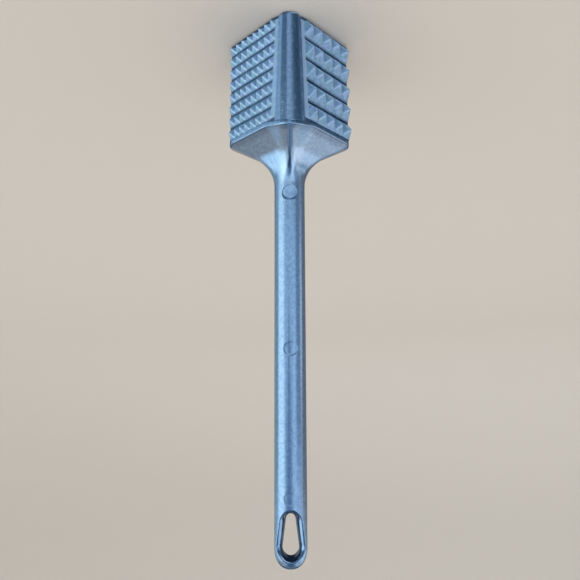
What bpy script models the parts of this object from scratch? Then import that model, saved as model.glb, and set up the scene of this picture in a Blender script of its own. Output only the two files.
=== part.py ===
import math

import bmesh
import bpy
from mathutils import Vector

# A cast aluminium meat mallet, standing on the flat end of its head.
# The handle points up along +Z. Two corners of the head lie on the Y axis, the way the
# mould opens, and the other two lie on the X axis, where the mould's halves meet.

mm = 0.001
degree = math.pi / 180.0
root_two = math.sqrt(2.0)

# Whole mallet
total_length = 255.0 * mm
cut_overrun = 2.0 * mm

# Head block, its reaches measured from the axis
head_length = 52.9 * mm
end_edge_radius = 0.6 * mm
end_edge_steps = 3
groove_reach = 22.4 * mm
side_land_half_width = 1.48 * mm

# Rounded columns on the front and back corners, wider and rounder towards the neck
column_rise_at_end = 3.0 * mm
column_rise_at_neck = 4.0 * mm
column_half_width_at_end = 5.05 * mm
column_half_width_at_neck = 6.65 * mm
column_steps = 6

# Plain strips between the columns and the teeth, a little above the grooves
strip_height = 0.9 * mm
strip_width_at_end = 2.6 * mm
strip_width_at_neck = 3.3 * mm
strip_step_run = 1.0 * mm

# Pyramid teeth on the four faces, as high as they stand over the grooves. The row at the
# end is a share of the pitch long, and the head's length sets how many rows follow
coarse_teeth = {
    "columns": 5,
    "pitch": 11.05 * mm,
    "first_row_share": 0.914,
    "height": 4.6 * mm,
    "tip_width": 0.6 * mm,
}
fine_teeth = {
    "columns": 8,
    "pitch": 6.85 * mm,
    "first_row_share": 0.774,
    "height": 2.9 * mm,
    "tip_width": 0.45 * mm,
}

# Rim between the block and the neck, a little larger than the block. It dips under the
# two columns, which run on past the teeth to meet it
rim_overhang = 0.25 * mm
rim_crease_height = 0.3 * mm
rim_thickness = 1.7 * mm
rim_edge_radius = 0.6 * mm
rim_edge_steps = 3
rim_dip = 3.3 * mm
rim_dip_spread = 32.0 * degree

# Flared neck: a straight slope in from the rim, then a fillet that runs into the bar
flare_slope = 26.6 * degree
flare_slope_steps = 8
flare_fillet_radius = 18.0 * mm
flare_fillet_steps = 12
flare_corner_radius = 2.0 * mm
flare_sharpen_share = 0.2
flare_soften_share = 0.5
flare_dip_end_share = 0.8

# Round bar with a slight taper and a domed end
bar_radius_at_neck = 7.6 * mm
bar_radius_at_dome = 7.4 * mm
dome_length = 10.0 * mm
dome_exponent = 2.4
dome_steps = 9
dome_tip_radius = 0.6 * mm
points_per_corner = 12

# Hang slot: a teardrop whose walls open from the bar's middle towards front and back
slot_wide_radius = 3.65 * mm
slot_wide_from_tip = 9.2 * mm
slot_narrow_radius = 2.1 * mm
slot_centre_distance = 11.5 * mm
slot_draft = 13.5 * degree
slot_rim_depth = 2.6 * mm
slot_rim_spread = 1.3 * mm
slot_points_per_end = 16

# Shallow round marks that ejector pins leave along the front of the bar
pin_mark_depth = 0.25 * mm
pin_mark_points = 24
pin_mark_ring_shares = (1.0, 0.7, 0.35)
pin_marks = {
    "pin_mark_neck": {"height": 82.6 * mm, "offset": 0.0, "radius": 3.7 * mm},
    "pin_mark_middle": {"height": 159.2 * mm, "offset": 0.0, "radius": 3.2 * mm},
    "pin_mark_end": {"height": 225.0 * mm, "offset": 0.6 * mm, "radius": 3.3 * mm},
}

# Bluish silver of the casting, glossier on the smooth handle
head_finish = {"color": (0.52, 0.64, 0.76, 1.0), "roughness": 0.34}
handle_finish = {"color": (0.50, 0.62, 0.78, 1.0), "roughness": 0.30}
head_sharp_angle = 20.0 * degree
handle_sharp_angle = 35.0 * degree


def clear_scene():
    for item in list(bpy.data.objects):
        bpy.data.objects.remove(item, do_unlink=True)


def mix(start, end, share):
    return start + (end - start) * share


def eased(share):
    share = min(max(share, 0.0), 1.0)
    return share * share * (3.0 - 2.0 * share)


def round_edge(radius, steps):
    # How far a rounded edge stands in and how far it has risen, ring by ring
    for step in range(steps + 1):
        angle = math.pi / 2.0 * step / steps
        yield radius - radius * math.sin(angle), radius - radius * math.cos(angle)


# Materials and meshes

def cast_aluminium(name, finish):
    material = bpy.data.materials.new(name)
    material.use_nodes = True
    shader = material.node_tree.nodes["Principled BSDF"]
    shader.inputs["Base Color"].default_value = finish["color"]
    shader.inputs["Metallic"].default_value = 1.0
    shader.inputs["Roughness"].default_value = finish["roughness"]
    material.diffuse_color = finish["color"]
    return material


def add_loft(bm, rings):
    levels = [[bm.verts.new(point) for point in ring] for ring in rings]
    count = len(levels[0])
    bands = []
    for lower, upper in zip(levels, levels[1:]):
        band = []
        for index in range(count):
            after = (index + 1) % count
            band.append(bm.faces.new((lower[index], lower[after], upper[after], upper[index])))
        bands.append(band)
    bm.faces.new(reversed(levels[0]))
    bm.faces.new(levels[-1])
    bm.normal_update()
    return bands


def make_object(name, bm):
    mesh = bpy.data.meshes.new(name)
    bm.to_mesh(mesh)
    bm.free()
    item = bpy.data.objects.new(name, mesh)
    bpy.context.scene.collection.objects.link(item)
    return item


def finish_piece(item, material, sharp_angle):
    item.data.materials.append(material)
    item.data.shade_smooth()
    item.data.set_sharp_from_angle(angle=sharp_angle)


def cut_with_loft(target, name, rings):
    bm = bmesh.new()
    add_loft(bm, rings)
    bmesh.ops.recalc_face_normals(bm, faces=bm.faces)
    cutter = make_object(name, bm)
    cutter.hide_render = True
    cutter.display_type = "WIRE"
    boolean = target.modifiers.new(name, "BOOLEAN")
    boolean.operation = "DIFFERENCE"
    boolean.solver = "EXACT"
    boolean.object = cutter


# Head

def face_point(along, out):
    # A point on the face between the front column and the corner on +X
    return Vector(((out + along) / root_two, (along - out) / root_two))


def strip_reach():
    return groove_reach + strip_height


def column_size(share):
    # Half the width of a column and the reach of its crown, from the end to the neck
    half_width = mix(column_half_width_at_end, column_half_width_at_neck, share)
    rise = mix(column_rise_at_end, column_rise_at_neck, share)
    return half_width, strip_reach() * root_two - half_width + rise


def head_quarter(height, inset, teeth_level):
    # From the crown of the front column to the land on the +X corner
    share = height / head_length
    half_width, crown = column_size(share)
    crown -= inset
    strip = strip_reach() - inset
    rise = crown - (strip * root_two - half_width)
    radius = (half_width ** 2 + rise ** 2) / (2.0 * rise)
    half_angle = math.asin(half_width / radius)
    points = []
    for step in range(column_steps + 1):
        angle = half_angle * step / column_steps
        points.append(Vector((radius * math.sin(angle), radius - crown - radius * math.cos(angle))))
    strip_end = half_width * root_two - strip + mix(strip_width_at_end, strip_width_at_neck, share)
    teeth_end = groove_reach - side_land_half_width * root_two
    points.append(face_point(strip_end, strip))
    points.append(face_point(strip_end + strip_step_run, teeth_level - inset))
    points.append(face_point(teeth_end, teeth_level - inset))
    return points


def head_ring(height, inset, teeth_level):
    quarter = head_quarter(height, inset, teeth_level)
    right = quarter + [Vector((point.x, -point.y)) for point in reversed(quarter)]
    left = [Vector((-point.x, point.y)) for point in reversed(right)]
    outline = right + left[1:-1]
    return [Vector((point.x, point.y, height)) for point in outline]


def split_faces(bm, faces, point, normal):
    geometry = set(faces)
    for face in faces:
        geometry.update(face.edges)
        geometry.update(face.verts)
    result = bmesh.ops.bisect_plane(bm, geom=list(geometry), plane_co=point, plane_no=normal)
    return [item for item in result["geom"] if isinstance(item, bmesh.types.BMFace)]


def set_reach(vert, out, reach):
    vert.co += out * (reach - vert.co.dot(out))


def groove_height(teeth, row):
    return teeth["pitch"] * (teeth["first_row_share"] + row)


def divide_field(bm, field, out, teeth):
    # Grooves across the field at the teeth's pitch, and grooves along it that share its width
    corners = sorted((vert.co.copy() for vert in field.verts), key=lambda point: point.z)
    low = sorted(corners[:2], key=lambda point: abs(point.x))
    high = sorted(corners[2:], key=lambda point: abs(point.x))
    grooves = round((head_length - groove_height(teeth, 0)) / teeth["pitch"])
    cells = [field]
    for row in range(grooves):
        groove = Vector((0.0, 0.0, groove_height(teeth, row)))
        cells = split_faces(bm, cells, groove, Vector((0.0, 0.0, 1.0)))
    for column in range(1, teeth["columns"]):
        share = column / teeth["columns"]
        start = low[0].lerp(low[1], share)
        end = high[0].lerp(high[1], share)
        cells = split_faces(bm, cells, start, (end - start).cross(out))
    for vert in {vert for cell in cells for vert in cell.verts}:
        if vert.co.z > groove_height(teeth, 0) / 2.0:
            set_reach(vert, out, groove_reach)
    return cells


def add_teeth(bm, field, out, teeth):
    # Every cell rises to a blunt tip that stands in the middle of its pitch, also in the
    # rows at both ends, which the end's border and the rim cut short
    cells = divide_field(bm, field, out, teeth)
    for cell in bmesh.ops.extrude_discrete_faces(bm, faces=cells)["faces"]:
        centre = cell.calc_center_median()
        row = math.ceil((centre.z - groove_height(teeth, 0)) / teeth["pitch"])
        middle = Vector((centre.x, centre.y, groove_height(teeth, row - 0.5)))
        for vert in cell.verts:
            vert.co = middle + (vert.co - centre) * (teeth["tip_width"] / teeth["pitch"])
            set_reach(vert, out, groove_reach + teeth["height"])


def make_head(material):
    # The end's plain border stands as high as the strips and frames the teeth. All four
    # fields are found before the first is divided
    rings = []
    for inset, height in round_edge(end_edge_radius, end_edge_steps):
        rings.append(head_ring(height, inset, strip_reach()))
    rings.append(head_ring(head_length, 0.0, groove_reach))
    bm = bmesh.new()
    sides = add_loft(bm, rings)[-1]
    fields = []
    for right, front, teeth in (
        (1.0, -1.0, fine_teeth),
        (1.0, 1.0, coarse_teeth),
        (-1.0, 1.0, fine_teeth),
        (-1.0, -1.0, coarse_teeth),
    ):
        out = Vector((right, front, 0.0)).normalized()
        field = max(sides, key=lambda face: face.normal.dot(out) * face.calc_area())
        fields.append((field, out, teeth))
    for field, out, teeth in fields:
        add_teeth(bm, field, out, teeth)
    head = make_object("head", bm)
    finish_piece(head, material, head_sharp_angle)
    return head


# Handle

def handle_ring(height, reach, corner_radius, dip=0.0):
    # A square with rounded corners on the X and Y axes, which becomes a circle when the
    # corner radius is the whole reach. The dip moves it along near the front and back.
    corner_radius = min(corner_radius, reach)
    distance = reach - corner_radius
    points = []
    for corner in range(4):
        direction = corner * math.pi / 2.0
        for step in range(points_per_corner):
            angle = direction + math.pi / 2.0 * ((step + 0.5) / points_per_corner - 0.5)
            x = distance * math.cos(direction) + corner_radius * math.cos(angle)
            y = distance * math.sin(direction) + corner_radius * math.sin(angle)
            from_column = math.atan2(abs(x), abs(y))
            points.append(Vector((x, y, height + dip * eased(1.0 - from_column / rim_dip_spread))))
    return points


def rim_size():
    # The rim clears the columns at its corners and the strips along its sides, and the two
    # set how round its corners are
    reach = column_size(1.0)[1] + rim_overhang
    half_width = strip_reach() + rim_overhang
    corner_radius = (half_width * root_two - reach) / (root_two - 1.0)
    return reach, max(corner_radius, rim_thickness)


def rim_ring(height, inset, dip):
    reach, corner_radius = rim_size()
    return handle_ring(head_length + height, reach - inset, corner_radius - inset, dip)


def rim_rings():
    # A crease under the block, then a lip with rounded edges
    rings = [rim_ring(0.0, rim_edge_radius, 0.0)]
    for inset, rise in round_edge(rim_edge_radius, rim_edge_steps):
        rings.append(rim_ring(rim_crease_height + rise, inset, rim_dip))
    top = rim_crease_height + rim_thickness
    upper_edge = list(round_edge(rim_edge_radius, rim_edge_steps))
    for inset, rise in reversed(upper_edge[1:]):
        rings.append(rim_ring(top - rise, inset, rim_dip))
    return rings


def flare_profile():
    # Reach and height of the neck's corner ridge, from the rim in to the bar
    start_reach = rim_size()[0] - rim_edge_radius
    start_height = head_length + rim_crease_height + rim_thickness
    run = start_reach - bar_radius_at_neck
    corner_height = start_height + run * math.tan(flare_slope)
    tangent = flare_fillet_radius * math.tan((math.pi / 2.0 - flare_slope) / 2.0)
    slope_end_reach = bar_radius_at_neck + tangent * math.cos(flare_slope)
    slope_end_height = corner_height - tangent * math.sin(flare_slope)
    points = []
    for step in range(flare_slope_steps):
        share = step / flare_slope_steps
        points.append((
            mix(start_reach, slope_end_reach, share),
            mix(start_height, slope_end_height, share),
        ))
    centre_reach = bar_radius_at_neck + flare_fillet_radius
    centre_height = corner_height + tangent
    for step in range(flare_fillet_steps + 1):
        angle = mix(flare_slope, math.pi / 2.0, step / flare_fillet_steps)
        points.append((
            centre_reach - flare_fillet_radius * math.sin(angle),
            centre_height - flare_fillet_radius * math.cos(angle),
        ))
    return points


def flare_rings():
    # The corners sharpen just past the rim and soften into the round bar
    profile = flare_profile()
    start, end = profile[0][1], profile[-1][1]
    rim_radius = rim_size()[1] - rim_edge_radius
    rings = []
    for reach, height in profile:
        share = (height - start) / (end - start)
        sharpened = eased(share / flare_sharpen_share)
        softened = eased((share - flare_soften_share) / (1.0 - flare_soften_share))
        radius = mix(rim_radius, flare_corner_radius, sharpened)
        dip = rim_dip * max(1.0 - share / flare_dip_end_share, 0.0) ** 2
        rings.append(handle_ring(height, reach, mix(radius, reach, softened), dip))
    return rings


def bar_rings():
    dome_start = total_length - dome_length
    rings = []
    for step in range(dome_steps):
        share = math.sin(math.pi / 2.0 * step / dome_steps)
        radius = bar_radius_at_dome * (1.0 - share ** dome_exponent) ** (1.0 / dome_exponent)
        rings.append(handle_ring(dome_start + dome_length * share, radius, radius))
    rings.append(handle_ring(total_length, dome_tip_radius, dome_tip_radius))
    return rings


def slot_ring(depth, spread):
    # Teardrop outline at one depth, as the hull of a wide and a narrow circle
    wide_centre = total_length - slot_wide_from_tip
    narrow_centre = wide_centre - slot_centre_distance
    lean = math.asin((slot_wide_radius - slot_narrow_radius) / slot_centre_distance)
    points = []
    for step in range(slot_points_per_end):
        angle = mix(-lean, math.pi + lean, step / (slot_points_per_end - 1))
        radius = slot_wide_radius + spread
        points.append(Vector((
            radius * math.cos(angle),
            depth,
            wide_centre + radius * math.sin(angle),
        )))
    for step in range(slot_points_per_end):
        angle = mix(math.pi + lean, 2.0 * math.pi - lean, step / (slot_points_per_end - 1))
        radius = slot_narrow_radius + spread
        points.append(Vector((
            radius * math.cos(angle),
            depth,
            narrow_centre + radius * math.sin(angle),
        )))
    return points


def slot_rings():
    # Walls drafted from the middle, then spread to a soft rim near the surface
    surface = bar_radius_at_dome + cut_overrun
    rim_start = bar_radius_at_dome - slot_rim_depth
    wall_spread = rim_start * math.tan(slot_draft)
    rim_spread = wall_spread + slot_rim_spread * (surface - rim_start) / slot_rim_depth
    return [
        slot_ring(-surface, rim_spread),
        slot_ring(-rim_start, wall_spread),
        slot_ring(0.0, 0.0),
        slot_ring(rim_start, wall_spread),
        slot_ring(surface, rim_spread),
    ]


def pin_mark_rings(mark):
    # A round recess in the front whose floor follows the bar's own curve
    def mark_ring(share, depth_of):
        points = []
        for step in range(pin_mark_points):
            angle = 2.0 * math.pi * step / pin_mark_points
            x = mark["offset"] + mark["radius"] * share * math.cos(angle)
            z = mark["height"] + mark["radius"] * share * math.sin(angle)
            points.append(Vector((x, -depth_of(x), z)))
        return points

    floor_radius = bar_radius_at_neck - pin_mark_depth
    outside = bar_radius_at_neck + cut_overrun
    rings = [mark_ring(pin_mark_ring_shares[0], lambda x: outside)]
    for share in pin_mark_ring_shares:
        rings.append(mark_ring(share, lambda x: math.sqrt(floor_radius ** 2 - x ** 2)))
    return rings


def make_handle(material):
    bm = bmesh.new()
    add_loft(bm, rim_rings() + flare_rings() + bar_rings())
    handle = make_object("handle", bm)
    finish_piece(handle, material, handle_sharp_angle)
    cut_with_loft(handle, "hang_slot", slot_rings())
    for name, mark in pin_marks.items():
        cut_with_loft(handle, name, pin_mark_rings(mark))
    return handle


def main():
    clear_scene()
    mallet = bpy.data.objects.new("mallet", None)
    bpy.context.scene.collection.objects.link(mallet)
    head = make_head(cast_aluminium("cast_aluminium_head", head_finish))
    handle = make_handle(cast_aluminium("cast_aluminium_handle", handle_finish))
    head.parent = mallet
    handle.parent = mallet


main()
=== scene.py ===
import math
import random

import bmesh
import bpy
from mathutils import Matrix, Vector


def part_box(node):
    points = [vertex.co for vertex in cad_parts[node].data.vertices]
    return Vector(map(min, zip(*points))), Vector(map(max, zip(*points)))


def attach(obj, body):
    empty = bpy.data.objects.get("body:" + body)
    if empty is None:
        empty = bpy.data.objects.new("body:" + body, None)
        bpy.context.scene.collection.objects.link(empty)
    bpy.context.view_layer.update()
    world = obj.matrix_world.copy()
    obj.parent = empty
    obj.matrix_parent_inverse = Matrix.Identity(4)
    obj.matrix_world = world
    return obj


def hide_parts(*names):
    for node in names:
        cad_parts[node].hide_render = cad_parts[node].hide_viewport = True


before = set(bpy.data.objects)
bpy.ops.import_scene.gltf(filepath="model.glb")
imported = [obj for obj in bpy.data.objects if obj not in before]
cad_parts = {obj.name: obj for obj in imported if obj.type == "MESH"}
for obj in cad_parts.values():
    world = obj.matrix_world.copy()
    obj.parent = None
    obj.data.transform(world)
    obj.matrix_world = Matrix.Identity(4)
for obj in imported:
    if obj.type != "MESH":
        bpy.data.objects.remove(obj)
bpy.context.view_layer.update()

# A cast aluminium meat mallet that stands on the end of its head, handle up along +Z.
# The photograph shows it head up, so the camera is turned over.

mm = 0.001
degree = math.pi / 180.0
rootTwo = math.sqrt(2.0)
print("frame:", sorted(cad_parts))


# Small helpers

def mix(start, end, share):
    return start + (end - start) * share


def eased(share):
    share = min(max(share, 0.0), 1.0)
    return share * share * (3.0 - 2.0 * share)


def spread(start, end, steps):
    return [mix(start, end, step / steps) for step in range(steps + 1)]


def hexColor(code):
    # sRGB hex to linear RGBA
    channels = [int(code[place:place + 2], 16) / 255.0 for place in (1, 3, 5)]
    return [value / 12.92 if value <= 0.04045 else ((value + 0.055) / 1.055) ** 2.4
            for value in channels] + [1.0]


def addNode(tree, kind, settings=None, links=None):
    # One node, its fields or socket values, and what feeds its sockets
    node = tree.nodes.new(kind)
    for key, value in (settings or {}).items():
        if isinstance(key, str) and hasattr(node, key):
            setattr(node, key, value)
        else:
            node.inputs[key].default_value = value
    for key, source in (links or {}).items():
        tree.links.new(source, node.inputs[key])
    return node


def makePiece(name, bm):
    mesh = bpy.data.meshes.new(name)
    bm.to_mesh(mesh)
    bm.free()
    piece = bpy.data.objects.new(name, mesh)
    bpy.context.scene.collection.objects.link(piece)
    return piece


def placeRing(ring, points):
    for vert, point in zip(ring, points):
        vert.co = point


def extrudeRing(bm, ring, points):
    # Grows a closed loop of edges by one band and puts its new verts in place
    edges = [bm.edges.get(pair) for pair in zip(ring, ring[1:] + ring[:1])]
    made = set(bmesh.ops.extrude_edge_only(bm, edges=edges)["geom"])
    grown = []
    for vert in ring:
        others = (edge.other_vert(vert) for edge in vert.link_edges)
        grown.append(next(other for other in others if other in made))
    placeRing(grown, points)
    return grown


# Handle: rim, flared neck, round bar, pin marks and the eye with its hang slot

handleShape = {
    "pointsPerCorner": 25,
    "gather": 1.6,
    "rimReach": 30.551 * mm,
    "rimCornerRadius": 6.65 * mm,
    "creaseHeight": 0.3 * mm,
    "rimThickness": 2.2 * mm,
    "rimEdge": 0.35 * mm,
    "rimEdgeSteps": 6,
    "rimDip": 3.3 * mm,
    "rimDipSpread": 32.0 * degree,
    "slope": 25.6 * degree,
    "slopeSteps": 14,
    "filletRadius": 18.0 * mm,
    "filletSteps": 26,
    "ridgeRadius": (2.2 * mm, 4.0 * mm),
    "sharpenShare": 0.06,
    "softenShare": 0.55,
    "dipEndShare": 0.8,
    "radiusAtNeck": 7.6 * mm,
    "radiusAtDome": 7.4 * mm,
    "domeLength": 10.0 * mm,
    "domeExponent": 2.4,
    "domeSteps": 20,
    "eyeStart": 25.9 * mm,
    "eyeSideSteps": 12,
    "rowStep": 5.0 * mm,
    "ringMerge": 0.005 * mm,
    "markMerge": 0.002 * mm,
}

# Two teardrops, each a narrow and a wide circle by distance from the tip and radius: the way
# through and the rim, with a wall between them that is straight at the ends and dished beside
slotShape = {
    "narrow": (20.7 * mm, 2.1 * mm),
    "wide": (9.2 * mm, 3.65 * mm),
    "rimNarrow": (19.85 * mm, 5.0 * mm),
    "rimWide": (10.2 * mm, 6.35 * mm),
    "straightness": (0.95, 0.3),
    "dishPower": 5.0,
    "rimRounding": (0.9 * mm, 0.35 * mm),
    "rimTone": 0.5,
    "wallShade": 0.85,
    "shadeFrom": (1.15, 0.85),
    "shadeRun": 0.2,
    "narrowShare": 0.43,
    "wideShare": 0.37,
    "surfaceSteps": 10,
    "surfaceGather": 1.6,
    "roundingSteps": 8,
    "wallSteps": 12,
    "mostEdgeShare": 0.6,
}

pinMarks = [
    {"height": 82.6 * mm, "offset": 0.0, "radius": 3.4 * mm, "tone": 1.0},
    {"height": 159.2 * mm, "offset": -0.2 * mm, "radius": 2.9 * mm, "tone": 0.9},
    {"height": 225.0 * mm, "offset": 0.2 * mm, "radius": 2.5 * mm, "tone": 0.3},
]
markShape = {
    "depth": 0.2 * mm,
    "border": 0.5 * mm,
    "margin": 0.5 * mm,
    "lean": 0.6,
    "leanTowards": 57.0 * degree,
    "shallowTone": 0.2,
    "toneFrom": -0.4,
    "toneRun": 1.2,
    "columns": 10,
    "columnMargin": 0.1,
    "rows": 12,
    "outerShares": (0.34, 0.67, 1.0),
    "edgeSteps": 5,
    "floorShares": (0.8, 0.6, 0.4, 0.2),
}

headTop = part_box("head")[1].z
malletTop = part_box("handle")[1].z


def handleRing(height, reach, cornerRadius=0.0, roundness=1.0, dip=0.0):
    # A square with rounded corners on the axes, bulged towards a circle by its roundness. Its
    # points gather at the corners, and a circle's are even
    count = handleShape["pointsPerCorner"]
    middle = reach - cornerRadius
    side = middle + cornerRadius * rootTwo
    arcEnd = math.atan2(cornerRadius / rootTwo, middle + cornerRadius / rootTwo)
    points = []
    for corner in range(4):
        for step in range(count):
            across = 2.0 * (step + 0.5) / count - 1.0
            gathered = math.copysign(abs(across) ** handleShape["gather"], across)
            turn = math.pi / 4.0 * mix(gathered, across, roundness)
            if abs(turn) < arcEnd:
                aside = middle * math.sin(turn)
                distance = middle * math.cos(turn) + math.sqrt(cornerRadius ** 2 - aside ** 2)
            else:
                distance = side / (math.cos(turn) + abs(math.sin(turn)))
            distance = mix(distance, reach, roundness)
            angle = corner * math.pi / 2.0 + turn
            x, y = distance * math.cos(angle), distance * math.sin(angle)
            near = 1.0 - math.atan2(abs(x), abs(y)) / handleShape["rimDipSpread"]
            points.append(Vector((x, y, height + dip * eased(near))))
    return points


def rimRings():
    # A crease under the toothed block, then a lip with rounded edges
    shape = handleShape
    edge = shape["rimEdge"]
    lower = headTop + shape["creaseHeight"]
    upper = lower + shape["rimThickness"]
    places = [(headTop, edge)]
    for angle in spread(0.0, math.pi / 2.0, shape["rimEdgeSteps"]):
        places.append((lower + edge - edge * math.cos(angle), edge - edge * math.sin(angle)))
    for angle in spread(math.pi / 2.0, 0.0, shape["rimEdgeSteps"])[:-1]:
        places.append((upper - edge + edge * math.cos(angle), edge - edge * math.sin(angle)))
    for height, inset in places:
        yield handleRing(height, shape["rimReach"] - inset, shape["rimCornerRadius"] - inset, 0.0,
                         shape["rimDip"])


def flareRings():
    # A straight slope in from the rim, then a fillet that runs into the bar
    shape = handleShape
    slope, fillet, bar = shape["slope"], shape["filletRadius"], shape["radiusAtNeck"]
    startReach = shape["rimReach"] - shape["rimEdge"]
    start = headTop + shape["creaseHeight"] + shape["rimThickness"]
    corner = start + (startReach - bar) * math.tan(slope)
    tangent = fillet * math.tan((math.pi / 2.0 - slope) / 2.0)
    slopeEnd = bar + tangent * math.cos(slope)
    end = corner + tangent
    profile = [(reach, corner - (reach - bar) * math.tan(slope))
               for reach in spread(startReach, slopeEnd, shape["slopeSteps"])[:-1]]
    for angle in spread(slope, math.pi / 2.0, shape["filletSteps"]):
        profile.append((bar + fillet - fillet * math.sin(angle), end - fillet * math.cos(angle)))
    for reach, height in profile:
        share = (height - start) / (end - start)
        softened = eased((share - shape["softenShare"]) / (1.0 - shape["softenShare"]))
        # The ridge has its second radius from half way up
        ridgeRadius = mix(*shape["ridgeRadius"], eased(2.0 * share))
        radius = mix(shape["rimCornerRadius"] - shape["rimEdge"], ridgeRadius,
                     eased(share / shape["sharpenShare"]))
        dip = shape["rimDip"] * max(1.0 - share / shape["dipEndShare"], 0.0) ** 2
        yield handleRing(height, reach, radius, softened, dip)


def flareTop():
    shape = handleShape
    run = shape["rimReach"] - shape["rimEdge"] - shape["radiusAtNeck"]
    tangent = shape["filletRadius"] * math.tan((math.pi / 2.0 - shape["slope"]) / 2.0)
    return (headTop + shape["creaseHeight"] + shape["rimThickness"]
            + run * math.tan(shape["slope"]) + tangent)


def barRadius(height):
    # The bar's slight taper, then the dome as a full superellipse
    shape = handleShape
    domeStart = malletTop - shape["domeLength"]
    if height <= domeStart:
        share = (height - flareTop()) / (domeStart - flareTop())
        return mix(shape["radiusAtNeck"], shape["radiusAtDome"], share)
    power = shape["domeExponent"]
    share = min((height - domeStart) / shape["domeLength"], 1.0)
    return shape["radiusAtDome"] * (1.0 - share ** power) ** (1.0 / power)


def frontPoint(x, z, sink=0.0):
    # The point of the bar's front surface over a place on its middle plane
    radius = max(barRadius(z) - sink, 0.0)
    return Vector((x, -math.sqrt(max(radius * radius - x * x, 0.0)), z))


def barHeights():
    # Even rows along the bar, and fine rows round each pin mark
    start, end = flareTop(), malletTop - handleShape["eyeStart"]
    stops = [(start, 1)]
    for mark in pinMarks:
        half = mark["radius"] + markShape["border"] + markShape["margin"]
        low, high = mark["height"] - half, min(mark["height"] + half, end)
        stops.append((low, max(round((low - stops[-1][0]) / handleShape["rowStep"]), 1)))
        stops.append((high, markShape["rows"]))
    if stops[-1][0] < end:
        stops.append((end, 1))
    heights = []
    for (low, ignored), (high, rows) in zip(stops, stops[1:]):
        heights += spread(low, high, rows)[1:]
    return heights


def cutMark(bm, mark):
    # Opens a window in the bar's rows and fills it with the rings of a shallow round mark,
    # which the pin pressed deeper on one side
    half = mark["radius"] + markShape["border"] + markShape["margin"]
    columns = markShape["columns"] + markShape["columnMargin"]
    sideways = math.sin(columns * math.pi / 2.0 / handleShape["pointsPerCorner"])
    high = min(mark["height"] + half, malletTop - handleShape["eyeStart"])
    window = set()
    for face in bm.faces:
        middle = face.calc_center_median()
        if (mark["height"] - half < middle.z < high and middle.y < 0.0
                and abs(middle.x) < sideways * barRadius(mark["height"])):
            window.add(face)
    outline = {vert for face in window for edge in face.edges for vert in edge.verts
               if sum(other in window for other in edge.link_faces) == 1}

    def around(vert):
        return math.atan2(vert.co.z - mark["height"], vert.co.x - mark["offset"])

    ring = sorted(outline, key=around)
    corners = [vert.co.copy() for vert in ring]
    angles = [around(vert) for vert in ring]
    bmesh.ops.delete(bm, geom=list(window), context="FACES")

    def deeper(angle):
        return math.cos(angle - markShape["leanTowards"])

    def markPoints(radius, sink):
        reach = markShape["lean"] * min(radius / mark["radius"], 1.0)
        return [frontPoint(mark["offset"] + radius * math.cos(angle),
                           mark["height"] + radius * math.sin(angle),
                           sink * mark["tone"] * (1.0 + reach * deeper(angle)))
                for angle in angles]

    outer = mark["radius"] + markShape["border"]
    for share in markShape["outerShares"]:
        points = [corner.lerp(point, share) for corner, point in zip(corners, markPoints(outer, 0.0))]
        ring = extrudeRing(bm, ring, [frontPoint(point.x, point.z) for point in points])
    # The mark's edge ring takes painted shade, darkest on the side pressed deeper
    edgeLayer = bm.verts.layers.float["paintedShadeAndSeam"]
    for step in range(1, markShape["edgeSteps"] + 1):
        share = step / markShape["edgeSteps"]
        ring = extrudeRing(bm, ring, markPoints(mix(outer, mark["radius"], share),
                                                markShape["depth"] * eased(share)))
        for vert, angle in zip(ring, angles):
            pressed = eased((deeper(angle) - markShape["toneFrom"]) / markShape["toneRun"])
            tone = mark["tone"] * mix(markShape["shallowTone"], 1.0, pressed)
            vert[edgeLayer] = math.sin(math.pi * share) ** 2 * tone
    for share in markShape["floorShares"]:
        ring = extrudeRing(bm, ring, markPoints(mark["radius"] * share, markShape["depth"]))
    floor = bmesh.ops.contextual_create(bm, geom=ring)["faces"]
    middle = bmesh.ops.poke(bm, faces=floor)["verts"][0]
    middle.co = frontPoint(mark["offset"], mark["height"], markShape["depth"] * mark["tone"])


def slotPlace(share, narrow, wide):
    # Teardrop outline, by a share of the way round from the narrow end's left side
    wideCentre, narrowCentre = malletTop - wide[0], malletTop - narrow[0]
    lean = math.asin((wide[1] - narrow[1]) / (wideCentre - narrowCentre))
    turn, over = slotShape["narrowShare"], slotShape["wideShare"]
    sides = (1.0 - turn - over) / 2.0
    along = share - turn
    if share <= turn:
        angle = mix(math.pi + lean, 2.0 * math.pi - lean, share / turn)
        centre, radius = narrowCentre, narrow[1]
    elif sides < along < sides + over:
        angle = mix(-lean, math.pi + lean, (along - sides) / over)
        centre, radius = wideCentre, wide[1]
    else:
        rising = along <= sides
        part = along / sides if rising else (1.0 - share) / sides
        angle = -lean if rising else math.pi + lean
        centre = mix(narrowCentre, wideCentre, part)
        radius = mix(narrow[1], wide[1], part)
    return radius * math.cos(angle), centre + radius * math.sin(angle)


def eyeOutline():
    # The eye's outer edge seen from the front: the last row of the bar, then up one side,
    # over the dome and down the other
    start = malletTop - handleShape["eyeStart"]
    domeStart = malletTop - handleShape["domeLength"]
    radius = barRadius(start)
    half = 2 * handleShape["pointsPerCorner"]
    points = [(-radius * math.cos(math.pi * step / half), start) for step in range(half)]
    side = [(barRadius(height), height)
            for height in spread(start, domeStart, handleShape["eyeSideSteps"])[:-1]]
    power = handleShape["domeExponent"]
    for angle in spread(0.0, math.pi / 2.0, handleShape["domeSteps"])[:-1]:
        x = handleShape["radiusAtDome"] * math.cos(angle) ** (2.0 / power)
        side.append((x, domeStart + handleShape["domeLength"] * math.sin(angle) ** (2.0 / power)))
    points += side + [(0.0, malletTop)] + [(-x, z) for x, z in reversed(side[1:])]
    return points


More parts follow.
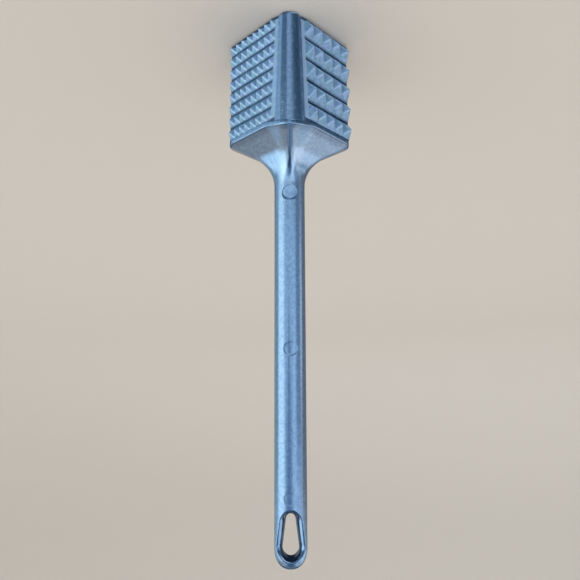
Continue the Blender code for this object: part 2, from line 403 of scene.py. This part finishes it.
def makeEye():
    # Front half of the eye as loops from its outer edge in to the slot's middle, mirrored
    outline = eyeOutline()
    count = len(outline)
    shape = slotShape
    bm = bmesh.new()
    shade = bm.verts.layers.float.new("paintedShadeAndSeam")
    bm.verts.layers.float.new("paintedSheen")
    ring = bmesh.ops.create_circle(bm, segments=count, radius=handleShape["radiusAtDome"])["verts"]
    rims, throats, beside = [], [], []
    for index in range(count):
        rims.append(frontPoint(*slotPlace(index / count, shape["rimNarrow"], shape["rimWide"])))
        throats.append(slotPlace(index / count, shape["narrow"], shape["wide"]))
        beside.append(eased(abs(rims[index].x) / shape["rimNarrow"][1]))

    def surface(index, share):
        rim, (x, z) = rims[index], outline[index]
        return frontPoint(mix(rim.x, x, share), mix(rim.z, z, share))

    def wall(index, share):
        # From the middle plane out to the rim
        out = mix(share ** shape["dishPower"], share, mix(*shape["straightness"], beside[index]))
        rim, (x, z) = rims[index], throats[index]
        return Vector((mix(x, rim.x, out), rim.y * share, mix(z, rim.z, out)))

    placeRing(ring, [surface(index, 1.0) for index in range(count)])
    roundings = [mix(*shape["rimRounding"], share) for share in beside]
    edgeShares = []
    for rounding, rim, place in zip(roundings, rims, outline):
        edgeShares.append(min(rounding / math.dist((rim.x, rim.z), place), shape["mostEdgeShare"]))
    for step in range(1, shape["surfaceSteps"] + 1):
        out = 1.0 - (step / shape["surfaceSteps"]) ** shape["surfaceGather"]
        ring = extrudeRing(bm, ring, [surface(index, mix(edgeShares[index], 1.0, out))
                                      for index in range(count)])
    for step in range(1, shape["roundingSteps"] + 1):
        share = step / shape["roundingSteps"]
        points = []
        for index, rim in enumerate(rims):
            outside = surface(index, edgeShares[index])
            inside = wall(index, 1.0 + roundings[index] / rim.y)
            points.append(outside.lerp(rim, share).lerp(rim.lerp(inside, share), share))
        ring = extrudeRing(bm, ring, points)
        # A thin dark line is painted along the rim's rounding
        for vert in ring:
            vert[shade] = shape["rimTone"] * math.sin(math.pi * share) ** 2
    for step in range(1, shape["wallSteps"] + 1):
        depthShare = 1.0 - step / shape["wallSteps"]
        ring = extrudeRing(bm, ring, [wall(index, depthShare * (1.0 + roundings[index] / rims[index].y))
                                      for index in range(count)])
        # Painted shade darkens the slot's walls: deep in beside, all the way out at the ends
        for vert, side in zip(ring, beside):
            shadeFrom = mix(*shape["shadeFrom"], side)
            vert[shade] = shape["wallShade"] * eased((shadeFrom - depthShare) / shape["shadeRun"])
    bmesh.ops.mirror(bm, geom=bm.verts[:] + bm.edges[:] + bm.faces[:], matrix=Matrix.Identity(4),
                     merge_dist=-1.0, axis="Y")
    return bm


# The neck's front and back: a thin dark line is painted down the ridge, partly a seam mark and
# partly painted shade of a crease, and a painted sheen lightens the casting beside it
neckShape = {
    "seamFrom": 63.5 * mm,
    "seamTo": 74.5 * mm,
    "seamWidth": 0.6 * mm,
    "seamWave": 0.22 * mm,
    "seamWaveRun": 0.9 * mm,
    "seamFades": (3.0 * mm, 2.0 * mm),
    "seamTone": 0.55,
    "sheenHeight": 71.0 * mm,
    "sheenReach": 9.0 * mm,
    "sheenSpread": 50.0 * degree,
    "sheenFall": 1.6,
}


def toneNeck(bm, verts):
    shape = neckShape
    fadeIn, fadeOut = shape["seamFades"]
    fall = shape["sheenFall"]
    shade, paintedSheen = (bm.verts.layers.float[name] for name in ("paintedShadeAndSeam", "paintedSheen"))
    for vert in verts:
        x, y, z = vert.co
        wave = shape["seamWave"] * math.sin(z / shape["seamWaveRun"])
        inside = eased((z - shape["seamFrom"]) / fadeIn) * eased((shape["seamTo"] - z) / fadeOut)
        seam = math.exp(-((x - wave) / shape["seamWidth"]) ** 2) * inside
        vert[shade] = shape["seamTone"] * seam
        # Painted sheen lightens the neck on both sides of the ridge, but not on the seam
        aside = math.atan2(abs(x), abs(y)) / shape["sheenSpread"]
        near = math.exp(-((z - shape["sheenHeight"]) / shape["sheenReach"]) ** 2)
        vert[paintedSheen] = near * eased(fall - fall * aside) * (1.0 - seam)


def makeHandle():
    bm = makeEye()
    base = bmesh.ops.create_circle(bm, cap_ends=True, segments=4 * handleShape["pointsPerCorner"],
                                   radius=handleShape["rimReach"])["verts"]
    rim = list(rimRings())
    placeRing(base, rim[0])
    for points in rim[1:]:
        base = extrudeRing(bm, base, points)
    for points in flareRings():
        base = extrudeRing(bm, base, points)
        toneNeck(bm, base)
    for height in barHeights():
        base = extrudeRing(bm, base, handleRing(height, barRadius(height)))
        toneNeck(bm, base)
    bmesh.ops.remove_doubles(bm, verts=bm.verts, dist=handleShape["ringMerge"])
    for mark in pinMarks:
        cutMark(bm, mark)
    bmesh.ops.remove_doubles(bm, verts=bm.verts, dist=handleShape["markMerge"])
    bmesh.ops.recalc_face_normals(bm, faces=bm.faces)
    piece = makePiece("handleCasting", bm)
    piece.data.shade_smooth()
    return piece


# Head: the toothed block, drawn as rings from its end to the rim

headShape = {
    "endEdge": 1.0 * mm,
    "endEdgeSteps": 5,
    "grooveReach": 22.4 * mm,
    "landHalfWidth": 1.48 * mm,
    "stripHeight": 0.9 * mm,
    "stripWidth": (2.6 * mm, 3.3 * mm),
    "columnRise": (3.0 * mm, 4.0 * mm),
    "columnHalfWidth": (5.05 * mm, 6.65 * mm),
    "columnPower": 3.0,
    "columnSteps": 18,
    "stripSteps": 3,
    "levelStep": 0.36 * mm,
    "blend": 0.25 * mm,
    "leastBlend": 0.02 * mm,
    "mostHalfRows": 40,
    "sharpAngle": 50.0 * degree,
    "creaseAngle": 9.0 * degree,
    "uprightShare": 0.9,
    "creaseReach": 1.05,
    "lidShare": 0.9,
    "merge": 0.002 * mm,
    "columnGrooveShare": 0.1,
    "edgeShade": 0.95,
    "edgeShadeHeights": (1.3 * mm, 1.8 * mm),
    "crownShadeShare": 0.5,
    "creaseShade": 0.75,
    "creaseShadeRun": 0.3 * mm,
    "ridgeShine": 0.6,
    "borderHeight": 1.6 * mm,
}
coarseTeeth = {
    "columns": 5,
    "pitch": 11.05 * mm,
    "firstRowShare": 0.914,
    "height": 4.6 * mm,
    "crossDepth": 0.52,
    "tipShare": 0.06,
    "ridgeBlend": 0.13,
    "ridgeWidth": 0.1,
    "ridgeTone": 0.75,
    "stripShine": 1.0,
    "valleyBlend": 0.05,
    "grooveWidth": 3.2 * mm,
    "lastTip": 0.555,
    "stepsPerColumn": 20,
}
fineTeeth = {
    "columns": 8,
    "pitch": 6.85 * mm,
    "firstRowShare": 0.774,
    "height": 2.9 * mm,
    "crossDepth": 0.74,
    "tipShare": 0.08,
    "ridgeBlend": 0.2,
    "ridgeWidth": 0.2,
    "ridgeTone": 0.85,
    "stripShine": 0.4,
    "valleyBlend": 0.06,
    "grooveWidth": 2.2 * mm,
    "lastTip": 0.5,
    "stepsPerColumn": 12,
}
# Each tooth's random wear, and how sharply the painted highlight on its ridge ends
toothWearAndHighlight = {"seed": 11, "rows": (-1, 12), "lowering": 0.035, "shift": 0.03, "brightEdge": 8.0}


def smoothMax(first, second, blend):
    overlap = max(blend - abs(first - second), 0.0) / blend
    return max(first, second) + overlap * overlap * blend / 4.0


def toothSurface(teeth, wear, across, height, columnWidth):
    # Height of a tooth field over its grooves, and how near a place is to a groove and a ridge,
    # for painted shade in the groove and a painted highlight on the ridge
    column = min(max(int(across), 0), teeth["columns"] - 1)
    row = height / teeth["pitch"] - teeth["firstRowShare"]
    wearAndSheen = wear[(math.floor(row), column)]
    # The tip stands in the middle of its column, but nearer the corner in the last one
    tip = teeth["lastTip"] if column == teeth["columns"] - 1 else 0.5
    aside = across - column - tip
    aside = aside / tip if aside < 0.0 else aside / (1.0 - tip)
    along = 2.0 * (row - math.floor(row)) - 1.0
    sideways, lengthways = abs(aside + wearAndSheen[1]), abs(along + wearAndSheen[2])
    # A painted highlight lies along the ridge that runs from a tip towards the column and the neck
    bright = (eased(0.5 - toothWearAndHighlight["brightEdge"] * aside)
              * eased(0.5 + toothWearAndHighlight["brightEdge"] * along))
    rowGroove = 1.0 - (1.0 - lengthways) * teeth["pitch"] / teeth["grooveWidth"]
    columnGroove = 1.0 - (1.0 - sideways) * columnWidth / teeth["grooveWidth"]
    paintedShade = max(eased(rowGroove), eased(columnGroove) * headShape["columnGrooveShare"])
    soft = teeth["valleyBlend"]
    sideways = 1.0 + soft - math.hypot(max(1.0 - sideways, 0.0), soft)
    lengthways = 1.0 + soft - math.hypot(max(1.0 - lengthways, 0.0), soft)
    # The grooves across a row are shallower than the ones along it, but its ends run right down
    inside = 0.5 < across < teeth["columns"] - 0.5
    sideways *= teeth["crossDepth"] if inside else 1.0
    away = smoothMax(sideways, lengthways, teeth["ridgeBlend"])
    away = smoothMax(away, teeth["tipShare"], teeth["tipShare"])
    rise = teeth["height"] * max(1.0 - away, 0.0) / (1.0 - teeth["tipShare"])
    ridge = bright * teeth["ridgeTone"] * math.exp(-((sideways - lengthways) / teeth["ridgeWidth"]) ** 2)
    return rise * (1.0 - wearAndSheen[0]), paintedShade, ridge


def facePoint(along, out, height):
    # On the face between the front column and the corner on +X
    return Vector(((out + along) / rootTwo, (along - out) / rootTwo, height))


def columnCrown(share):
    strip = headShape["grooveReach"] + headShape["stripHeight"]
    return (strip * rootTwo - mix(*headShape["columnHalfWidth"], share)
            + mix(*headShape["columnRise"], share))


def quarterPoints(teeth, wear, height, inset):
    # From beside the front column's crown to beside the corner on +X: each place with its
    # nearness to a groove and to a ridge (its painted shade and painted highlight), and whether it keeps
    # its matt skin
    shape = headShape
    share = height / headTop
    strip = shape["grooveReach"] + shape["stripHeight"]
    halfWidth = mix(*shape["columnHalfWidth"], share)
    rise, power = mix(*shape["columnRise"], share), shape["columnPower"]
    points = []
    for along in spread(0.0, 1.0, shape["columnSteps"])[1:]:
        lean = math.atan(power * rise / halfWidth * along ** (power - 1.0))
        out = columnCrown(share) - rise * along ** power
        points.append((Vector((halfWidth * along - inset * math.sin(lean),
                               inset * math.cos(lean) - out, height)), 0.0, 0.0, 0.0))
    columnEnd = halfWidth * rootTwo - strip
    stripEnd = columnEnd + mix(*shape["stripWidth"], share)
    # The end's border stands proud of the strips beside the column and of the first groove
    border = shape["borderHeight"] - max(height - shape["endEdge"], 0.0)
    for along in spread(columnEnd, stripEnd, shape["stripSteps"])[1:]:
        raised = mix(shape["stripHeight"], border, eased((along - columnEnd) / (stripEnd - columnEnd)))
        out = shape["grooveReach"] + max(raised, shape["stripHeight"]) - inset
        # The strips beside the column take a painted sheen
        points.append((facePoint(along, out, height), 0.0, teeth["stripShine"], 1.0))
    corner = shape["grooveReach"] - shape["landHalfWidth"] * rootTwo
    hidden = shape["stripHeight"] * (corner - stripEnd) / (2.0 * teeth["columns"] * teeth["height"])
    start = stripEnd - hidden
    columnWidth = (corner - start) / teeth["columns"]
    cornerSlope = teeth["height"] / columnWidth / (1.0 - teeth["lastTip"])
    steps = teeth["columns"] * teeth["stepsPerColumn"]
    for along in spread(stripEnd, corner, steps)[1:]:
        level, paintedShade, ridge = toothSurface(teeth, wear, (along - start) / columnWidth, height,
                                            columnWidth)
        ramp = max(shape["stripHeight"] - (along - stripEnd),
                   min(border, (corner - along) * cornerSlope), 0.0)
        lifted = smoothMax(level, ramp, min(shape["blend"], max(corner - along, shape["leastBlend"])))
        paintedShade *= 1.0 - eased(ramp / shape["stripHeight"])
        # The painted highlight lies only on teeth above the ramp, and takes the ridge off its matt skin
        ridge = ridge if level > ramp else 0.0
        points.append((facePoint(along, shape["grooveReach"] + lifted - inset, height),
                       paintedShade, ridge, 1.0 - shape["ridgeShine"] * ridge))
    return points


def headLevels():
    # Heights of the rings: a rounded end edge, then even steps between grooves and tips
    stops = {headShape["endEdge"], headTop}
    for teeth in (coarseTeeth, fineTeeth):
        for half in range(headShape["mostHalfRows"]):
            stop = teeth["pitch"] * (teeth["firstRowShare"] - 1.5 + half / 2.0)
            if headShape["endEdge"] < stop < headTop:
                stops.add(stop)
    stops = sorted(stops)
    edge = headShape["endEdge"]
    levels = [edge - edge * math.cos(angle)
              for angle in spread(0.0, math.pi / 2.0, headShape["endEdgeSteps"])]
    for low, high in zip(stops, stops[1:]):
        steps = max(round((high - low) / headShape["levelStep"]), 1)
        levels += spread(low, high, steps)[1:]
    return levels


def makeHead():
    random.seed(toothWearAndHighlight["seed"])
    quarters = []
    for right, back, teeth in ((1, -1, fineTeeth), (1, 1, coarseTeeth), (-1, 1, fineTeeth),
                               (-1, -1, coarseTeeth)):
        wear = {(row, column): (random.random() * toothWearAndHighlight["lowering"],
                                random.uniform(-1, 1) * toothWearAndHighlight["shift"],
                                random.uniform(-1, 1) * toothWearAndHighlight["shift"])
                for row in range(*toothWearAndHighlight["rows"]) for column in range(teeth["columns"])}
        quarters.append((right, back, teeth, wear))

    def ringAt(height):
        edge = headShape["endEdge"]
        inset = edge - math.sqrt(max(edge ** 2 - max(edge - height, 0.0) ** 2, 0.0))
        ring = []
        for index, (right, back, teeth, wear) in enumerate(quarters):
            part = [(Vector((point.x * right, point.y * -back, point.z)), *finish)
                    for point, *finish in quarterPoints(teeth, wear, height, inset)]
            # Painted shade darkens the rounded end edge and the crease under the rim, and a narrower band
            # of the columns' end edge; the painted highlights fade where it lies
            low, high = headShape["edgeShadeHeights"]
            dark = headShape["edgeShade"] * eased((high - height) / (high - low))
            onCrown = headShape["edgeShade"] * eased((high * headShape["crownShadeShare"] - height)
                                                     / (high - low))
            creased = 1.0 - (headTop - height) / headShape["creaseShadeRun"]
            dark = max(dark, headShape["creaseShade"] * eased(creased))
            part = [(point, max(paintedShade, dark if matt else onCrown), ridge * (1.0 - dark), matt)
                    for point, paintedShade, ridge, matt in part]
            if index % 2:
                part.reverse()
            else:
                crown = columnCrown(height / headTop) - inset
                ring.append((Vector((0.0, crown * back, height)), 0.0, 0.0, 0.0))
            ring += part
        return ring

    bm = bmesh.new()
    layers = [bm.verts.layers.float.new(name) for name in ("toothShade", "toothHighlight", "mattSkin")]

    def mark(verts, places):
        for vert, (point, *finish) in zip(verts, places):
            for layer, value in zip(layers, finish):
                vert[layer] = value

    levels = headLevels()
    places = ringAt(levels[0])
    ring = bmesh.ops.create_circle(bm, cap_ends=True, segments=len(places), radius=headTop)["verts"]
    placeRing(ring, [place[0] for place in places])
    mark(ring, places)
    for level in levels[1:]:
        places = ringAt(level)
        ring = extrudeRing(bm, ring, [place[0] for place in places])
        mark(ring, places)
    # The columns run on past the block to the rim, which dips under them
    dipped = []
    for point in [place[0] for place in places]:
        near = eased(1.0 - math.atan2(abs(point.x), abs(point.y)) / handleShape["rimDipSpread"])
        drop = (handleShape["rimDip"] + handleShape["creaseHeight"]) * near
        dipped.append(point + Vector((0.0, 0.0, drop)))
    ring = extrudeRing(bm, ring, dipped)
    mark(ring, places)
    # A lid inside the handle's foot closes the block
    lid = headShape["lidShare"]
    ring = extrudeRing(bm, ring, [Vector((point.x * lid, point.y * lid, point.z)) for point in dipped])
    bmesh.ops.contextual_create(bm, geom=ring)
    bmesh.ops.remove_doubles(bm, verts=bm.verts, dist=headShape["merge"])
    bmesh.ops.recalc_face_normals(bm, faces=bm.faces)
    for face in bm.faces:
        face.smooth = True
    creaseReach = headShape["columnHalfWidth"][1] * headShape["creaseReach"]
    for edge in bm.edges:
        # The crease where a column rises from the strips beside it runs up the block
        angle = edge.calc_face_angle(0.0)
        first, second = edge.verts
        upright = abs(first.co.z - second.co.z) > edge.calc_length() * headShape["uprightShare"]
        beside = min(abs(first.co.x), abs(second.co.x)) < creaseReach
        if angle > headShape["sharpAngle"] or (angle > headShape["creaseAngle"] and upright and beside):
            edge.smooth = False
    return makePiece("headCasting", bm)


# Die-cast aluminium, tumbled after casting. It gives the eye a bluish satin silver on the proud
# places and the handle, and a pale matt cast skin on the toothed fields. The blue is partly a
# painted reflection of a blue sky. The grooves, end edges, crease, pin mark edges and slot walls
# take painted shade, the tooth ridges and strips painted highlights, and the neck a painted sheen.
# The grain is taken as about 0.15 mm, too fine to show in the render, so it is drawn at 0.5 mm

castFinish = {
    # The blue in these colours is partly a painted reflection of a blue sky
    "light": "#c8d7e6",
    "dark": "#a6b9cc",
    "roughness": (0.15, 0.26),
    "grainContrast": (0.3, 0.7),
    "mattLight": "#e2eef4",
    "mattDark": "#93aec1",
    "mattTeal": "#9cc4c4",
    "mattLavender": "#bcc6ee",
    "mattTinge": 0.35,
    "mattRoughness": (0.50, 0.66),
    "paintedShade": "#2e4357",
    "wearAndSheen": "#f0f7fd",
    "grainSize": 0.5 * mm,
    "mottleSize": 1.8 * mm,
    "toneRange": (0.35, 0.65),
    "mottleShare": 0.6,
    "grainShare": 0.4,
    "tingeSize": 3.5 * mm,
    "tingeRange": (0.4, 0.6),
    "waveSize": 9.0 * mm,
    "pitSpacing": 2.2 * mm,
    "pitReach": (0.05, 0.16),
    "grainHeight": 0.03 * mm,
    "grainStrength": (0.4, 1.0),
    "waveHeight": 0.10 * mm,
    "pitDepth": 0.05 * mm,
}


def castAluminium(name, finish, shades):
    material = bpy.data.materials.new(name)
    material.use_nodes = True
    tree = material.node_tree
    shader = tree.nodes["Principled BSDF"]
    place = addNode(tree, "ShaderNodeTexCoord").outputs["Object"]

    def noise(size, detail):
        return addNode(tree, "ShaderNodeTexNoise",
                       {"Scale": 1.0 / size, "Detail": detail, "Roughness": 0.6},
                       {"Vector": place}).outputs["Fac"]

    def ranged(source, low, high, start, end):
        return addNode(tree, "ShaderNodeMapRange",
                       {"From Min": low, "From Max": high, "To Min": start, "To Max": end},
                       {"Value": source}).outputs["Result"]

    def tinted(factor, first, second):
        node = addNode(tree, "ShaderNodeMix", {"data_type": "RGBA"}, {"Factor": factor})
        for socket, color in ((6, first), (7, second)):
            if isinstance(color, str):
                node.inputs[socket].default_value = hexColor(color)
            else:
                tree.links.new(color, node.inputs[socket])
        return node.outputs[2]

    # Fine speckle of the cast skin over soft patches
    grain = noise(finish["grainSize"], 2.0)
    mottle = noise(finish["mottleSize"], 4.0)
    wave = noise(finish["waveSize"], 1.0)
    tone = addNode(tree, "ShaderNodeMath", {"operation": "ADD"},
                   {0: ranged(mottle, *finish["toneRange"], 0.0, finish["mottleShare"]),
                    1: ranged(grain, *finish["toneRange"], 0.0, finish["grainShare"])})
    matt = addNode(tree, "ShaderNodeAttribute", {"attribute_name": "mattSkin"}).outputs["Fac"]
    skin = tinted(tone.outputs[0], finish["mattDark"], finish["mattLight"])
    tinge = tinted(ranged(noise(finish["tingeSize"], 1.0), *finish["tingeRange"], 0.0, 1.0),
                   finish["mattTeal"], finish["mattLavender"])
    skin = addNode(tree, "ShaderNodeMix", {"data_type": "RGBA", 0: finish["mattTinge"]},
                   {6: skin, 7: tinge}).outputs[2]
    base = tinted(matt, tinted(tone.outputs[0], finish["dark"], finish["light"]), skin)
    for attribute, tint, strength in shades:
        shade = addNode(tree, "ShaderNodeAttribute", {"attribute_name": attribute})
        amount = addNode(tree, "ShaderNodeMath", {"operation": "MULTIPLY", 1: strength},
                         {0: shade.outputs["Fac"]})
        base = tinted(amount.outputs[0], base, finish[tint])
    tree.links.new(base, shader.inputs["Base Color"])
    rough = addNode(tree, "ShaderNodeMix", {"data_type": "FLOAT"},
                    {0: matt, 2: ranged(grain, *finish["grainContrast"], *finish["roughness"]),
                     3: ranged(grain, *finish["grainContrast"], *finish["mattRoughness"])})
    tree.links.new(rough.outputs[0], shader.inputs["Roughness"])
    shader.inputs["Metallic"].default_value = 1.0
    # Uneven casting, grain and scattered pits in the surface
    pits = addNode(tree, "ShaderNodeTexVoronoi", {"Scale": 1.0 / finish["pitSpacing"]}, {"Vector": place})
    normal = None
    for height, source, sunk in ((finish["waveHeight"], wave, False),
                                 (finish["grainHeight"], grain, False),
                                 (finish["pitDepth"],
                                  ranged(pits.outputs["Distance"], *finish["pitReach"], 1.0, 0.0), True)):
        bump = addNode(tree, "ShaderNodeBump", {"Distance": height, "invert": sunk}, {"Height": source})
        if source is grain:
            tree.links.new(ranged(matt, 0.0, 1.0, *finish["grainStrength"]), bump.inputs["Strength"])
        if normal:
            tree.links.new(normal, bump.inputs["Normal"])
        normal = bump.outputs["Normal"]
    tree.links.new(normal, shader.inputs["Normal"])
    return material


# Stage: a pale round floor whose edge sweeps up into a wall, so no horizon shows. It is uncoated
# matt paper, which gives the eye an even tone without gloss

stageShape = {
    "floorRadius": 1.2,
    "sweep": 0.6,
    "wall": 1.6,
    "segments": 96,
    "sweepSteps": 12,
    "color": "#dcd5cc",
    "roughness": 0.95,
}


def makeStage():
    shape = stageShape
    bm = bmesh.new()
    ring = bmesh.ops.create_circle(bm, cap_ends=True, segments=shape["segments"],
                                   radius=shape["floorRadius"])["verts"]
    places = []
    for angle in spread(0.0, math.pi / 2.0, shape["sweepSteps"])[1:]:
        places.append((shape["floorRadius"] + shape["sweep"] * math.sin(angle),
                       shape["sweep"] - shape["sweep"] * math.cos(angle)))
    places.append((shape["floorRadius"] + shape["sweep"], shape["wall"]))
    for radius, height in places:
        grown = [Vector((vert.co.x, vert.co.y, 0.0)).normalized() * radius for vert in ring]
        ring = extrudeRing(bm, ring, [point + Vector((0.0, 0.0, height)) for point in grown])
    bmesh.ops.recalc_face_normals(bm, faces=bm.faces)
    bmesh.ops.reverse_faces(bm, faces=bm.faces)
    stage = makePiece("paleFloor", bm)
    stage.data.shade_smooth()
    material = bpy.data.materials.new("paleMattPaper")
    material.use_nodes = True
    shader = material.node_tree.nodes["Principled BSDF"]
    shader.inputs["Base Color"].default_value = hexColor(shape["color"])
    shader.inputs["Roughness"].default_value = shape["roughness"]
    shader.inputs["Specular IOR Level"].default_value = 0.0
    stage.data.materials.append(material)
    stage.visible_glossy = False
    stage.visible_shadow = False


# Studio light: a dim sky with soft boxes. Azimuth 0 is -Y, the camera's side, and positive
# azimuths turn towards +X, the picture's left. Width and height are half the box's, in degrees

skyColor = "#adc4d7"
roomLight = {"color": "#fffaf4", "strength": 1.0}
softBoxes = {
    "ceiling": {"azimuth": 0, "elevation": 84, "width": 200, "height": 14, "soft": 14,
                "color": "#596f86", "strength": 1.0},
    "highBack": {"azimuth": 180, "elevation": 61, "width": 52, "height": 12, "soft": 10,
                 "color": "#73899e", "strength": 1.0},
    "behindRight": {"azimuth": -132, "elevation": 42, "width": 24, "height": 9, "soft": 12,
                    "color": "#bfc4ce", "strength": 1.0},
    "behindLeft": {"azimuth": 126, "elevation": 42, "width": 30, "height": 11, "soft": 14,
                   "color": "#97979b", "strength": 1.0},
    "behindHigh": {"azimuth": 180, "elevation": 32, "width": 30, "height": 20, "soft": 14,
                   "color": "#455569", "strength": 1.0},
    "frontTop": {"azimuth": 0, "elevation": 58, "width": 32, "height": 40, "soft": 12,
                 "color": "#456181", "strength": 1.0},
    "leftHigh": {"azimuth": 82, "elevation": 15, "width": 28, "height": 28, "soft": 22,
                 "color": "#c8e8ff", "strength": 1.28},
    "rightHigh": {"azimuth": -95, "elevation": 27, "width": 28, "height": 15, "soft": 12,
                  "color": "#ddecff", "strength": 1.08},
    "front": {"azimuth": 0, "elevation": -4, "width": 43, "height": 19, "soft": 12,
              "color": "#add0f1", "strength": 1.0},
    "frontHigh": {"azimuth": 10, "elevation": 12, "width": 22, "height": 12, "soft": 12,
                  "color": "#7c99bf", "strength": 1.0},
    "frontLine": {"azimuth": 10, "elevation": 5, "width": 6, "height": 14, "soft": 7,
                  "color": "#6584ad", "strength": 1.0},
    "left": {"azimuth": 70, "elevation": -2, "width": 26, "height": 26, "soft": 18,
             "color": "#cae9ff", "strength": 1.45},
    "leftGrey": {"azimuth": 124, "elevation": -6, "width": 30, "height": 18, "soft": 14,
                 "color": "#8ea6b3", "strength": 1.0},
    "behind": {"azimuth": 180, "elevation": -6, "width": 28, "height": 22, "soft": 12,
               "color": "#b3a6a0", "strength": 1.0},
    "right": {"azimuth": -64, "elevation": -6, "width": 20, "height": 20, "soft": 12,
              "color": "#7993b1", "strength": 1.0},
    "rightGrey": {"azimuth": -126, "elevation": -6, "width": 34, "height": 20, "soft": 14,
                  "color": "#797c86", "strength": 1.0},
    "rightLight": {"azimuth": -27, "elevation": 4, "width": 9, "height": 14, "soft": 8,
                   "color": "#bcdeff", "strength": 1.0},
    "rightStreak": {"azimuth": -88, "elevation": -9, "width": 9, "height": 8, "soft": 7,
                    "color": "#c5ddf3", "strength": 1.0},
    "rightGlow": {"azimuth": -56, "elevation": 26, "width": 24, "height": 19, "soft": 10,
                  "color": "#c0ddff", "strength": 1.02},
    "below": {"azimuth": 0, "elevation": -60, "width": 200, "height": 34, "soft": 5,
              "color": "#556f89", "strength": 1.0},
    "belowRight": {"azimuth": -62, "elevation": -36, "width": 42, "height": 12, "soft": 8,
                   "color": "#385065", "strength": 1.0},
    "belowFront": {"azimuth": 3, "elevation": -36, "width": 8, "height": 12, "soft": 8,
                   "color": "#9ebad7", "strength": 1.0},
    "belowLeft": {"azimuth": 106, "elevation": -36, "width": 24, "height": 14, "soft": 10,
                  "color": "#95b6d4", "strength": 1.0},
    "lowRight": {"azimuth": -112, "elevation": -43, "width": 16, "height": 11, "soft": 8,
                 "color": "#596c86", "strength": 1.0},
    "belowBehind": {"azimuth": 180, "elevation": -46, "width": 50, "height": 24, "soft": 14,
                    "color": "#304259", "strength": 1.0},
    "underGlow": {"azimuth": -72, "elevation": -70, "width": 62, "height": 14, "soft": 8,
                  "color": "#d3e7ff", "strength": 2.0},
}


def makeWorld():
    world = bpy.data.worlds.new("studio")
    bpy.context.scene.world = world
    world.use_nodes = True
    tree = world.node_tree
    background = tree.nodes["Background"]
    direction = addNode(tree, "ShaderNodeTexCoord").outputs["Generated"]
    split = addNode(tree, "ShaderNodeSeparateXYZ", {}, {0: direction})
    sink = addNode(tree, "ShaderNodeMath", {"operation": "MULTIPLY", 1: -1.0},
                   {0: split.outputs["Y"]})
    azimuth = addNode(tree, "ShaderNodeMath", {"operation": "ARCTAN2"},
                      {0: split.outputs["X"], 1: sink.outputs[0]})
    elevation = addNode(tree, "ShaderNodeMath", {"operation": "ARCSINE"}, {0: split.outputs["Z"]})
    color = addNode(tree, "ShaderNodeRGB").outputs[0]
    color.default_value = hexColor(skyColor)
    for box in softBoxes.values():
        masks = []
        for source, centre, half in ((azimuth, box["azimuth"], box["width"]),
                                     (elevation, box["elevation"], box["height"])):
            away = addNode(tree, "ShaderNodeMath", {"operation": "SUBTRACT", 1: centre * degree},
                           {0: source.outputs[0]})
            wrapped = addNode(tree, "ShaderNodeMath",
                              {"operation": "WRAP", 1: math.pi, 2: -math.pi}, {0: away.outputs[0]})
            size = addNode(tree, "ShaderNodeMath", {"operation": "ABSOLUTE"}, {0: wrapped.outputs[0]})
            masks.append(addNode(tree, "ShaderNodeMapRange",
                                 {"interpolation_type": "SMOOTHSTEP", "To Min": 1.0, "To Max": 0.0,
                                  "From Min": (half - box["soft"] / 2.0) * degree,
                                  "From Max": (half + box["soft"] / 2.0) * degree},
                                 {"Value": size.outputs[0]}))
        mask = addNode(tree, "ShaderNodeMath", {"operation": "MULTIPLY"},
                       {0: masks[0].outputs["Result"], 1: masks[1].outputs["Result"]})
        glow = [channel * box["strength"] for channel in hexColor(box["color"])[:3]] + [1.0]
        color = addNode(tree, "ShaderNodeMix", {"data_type": "RGBA", 7: glow},
                        {"Factor": mask.outputs[0], 6: color}).outputs[2]
    tree.links.new(color, background.inputs["Color"])
    # Matt surfaces such as the floor take plain even room light
    room = addNode(tree, "ShaderNodeBackground", {"Color": hexColor(roomLight["color"]),
                                                  "Strength": roomLight["strength"]})
    path = addNode(tree, "ShaderNodeLightPath")
    both = addNode(tree, "ShaderNodeMixShader", {},
                   {0: path.outputs["Is Diffuse Ray"], 1: background.outputs[0], 2: room.outputs[0]})
    tree.links.new(both.outputs[0], tree.nodes["World Output"].inputs["Surface"])


# Camera: fitted to the photograph, turned over so that the head is at the top

cameraShape = {
    "place": (2.94 * mm, -256.8 * mm, 183.4 * mm),
    "view": (-0.0114, 0.979, -0.203),
    "roll": -0.216 * degree,
    "focalPixels": 540.0,
    "imagePixels": 580.0,
    "sensorWidth": 36.0,
    "clipStart": 0.01,
}


def makeCamera():
    camera = bpy.data.objects.new("photoCamera", bpy.data.cameras.new("photoCamera"))
    bpy.context.scene.collection.objects.link(camera)
    camera.data.sensor_width = cameraShape["sensorWidth"]
    camera.data.lens = (cameraShape["focalPixels"] / cameraShape["imagePixels"]
                        * cameraShape["sensorWidth"])
    camera.data.clip_start = cameraShape["clipStart"]
    view = Vector(cameraShape["view"]).normalized()
    down = (Vector((0.0, 0.0, 1.0)) - view * view.z).normalized()
    right = down.cross(view)
    roll = cameraShape["roll"]
    imageRight = right * math.cos(roll) - down * math.sin(roll)
    imageDown = right * math.sin(roll) + down * math.cos(roll)
    turn = Matrix((imageRight, -imageDown, -view)).transposed()
    camera.matrix_world = Matrix.Translation(cameraShape["place"]) @ turn.to_4x4()
    bpy.context.scene.camera = camera


handlePiece = makeHandle()
handlePiece.data.materials.append(castAluminium("castAluminiumHandle", castFinish,
                                                [("paintedSheen", "wearAndSheen", 0.7), ("paintedShadeAndSeam", "paintedShade", 0.9)]))
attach(handlePiece, "root")
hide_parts("handle")
print("handle:", len(handlePiece.data.polygons), "faces")

headPiece = makeHead()
headPiece.data.materials.append(castAluminium("castAluminiumHead", castFinish,
                                              [("toothHighlight", "wearAndSheen", 1.0),
                                               ("toothShade", "paintedShade", 1.0)]))
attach(headPiece, "root")
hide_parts("head")
print("head:", len(headPiece.data.polygons), "faces")

makeStage()
makeWorld()
makeCamera()
bpy.context.scene.view_settings.view_transform = "Standard"
print("stage, light and camera ready")
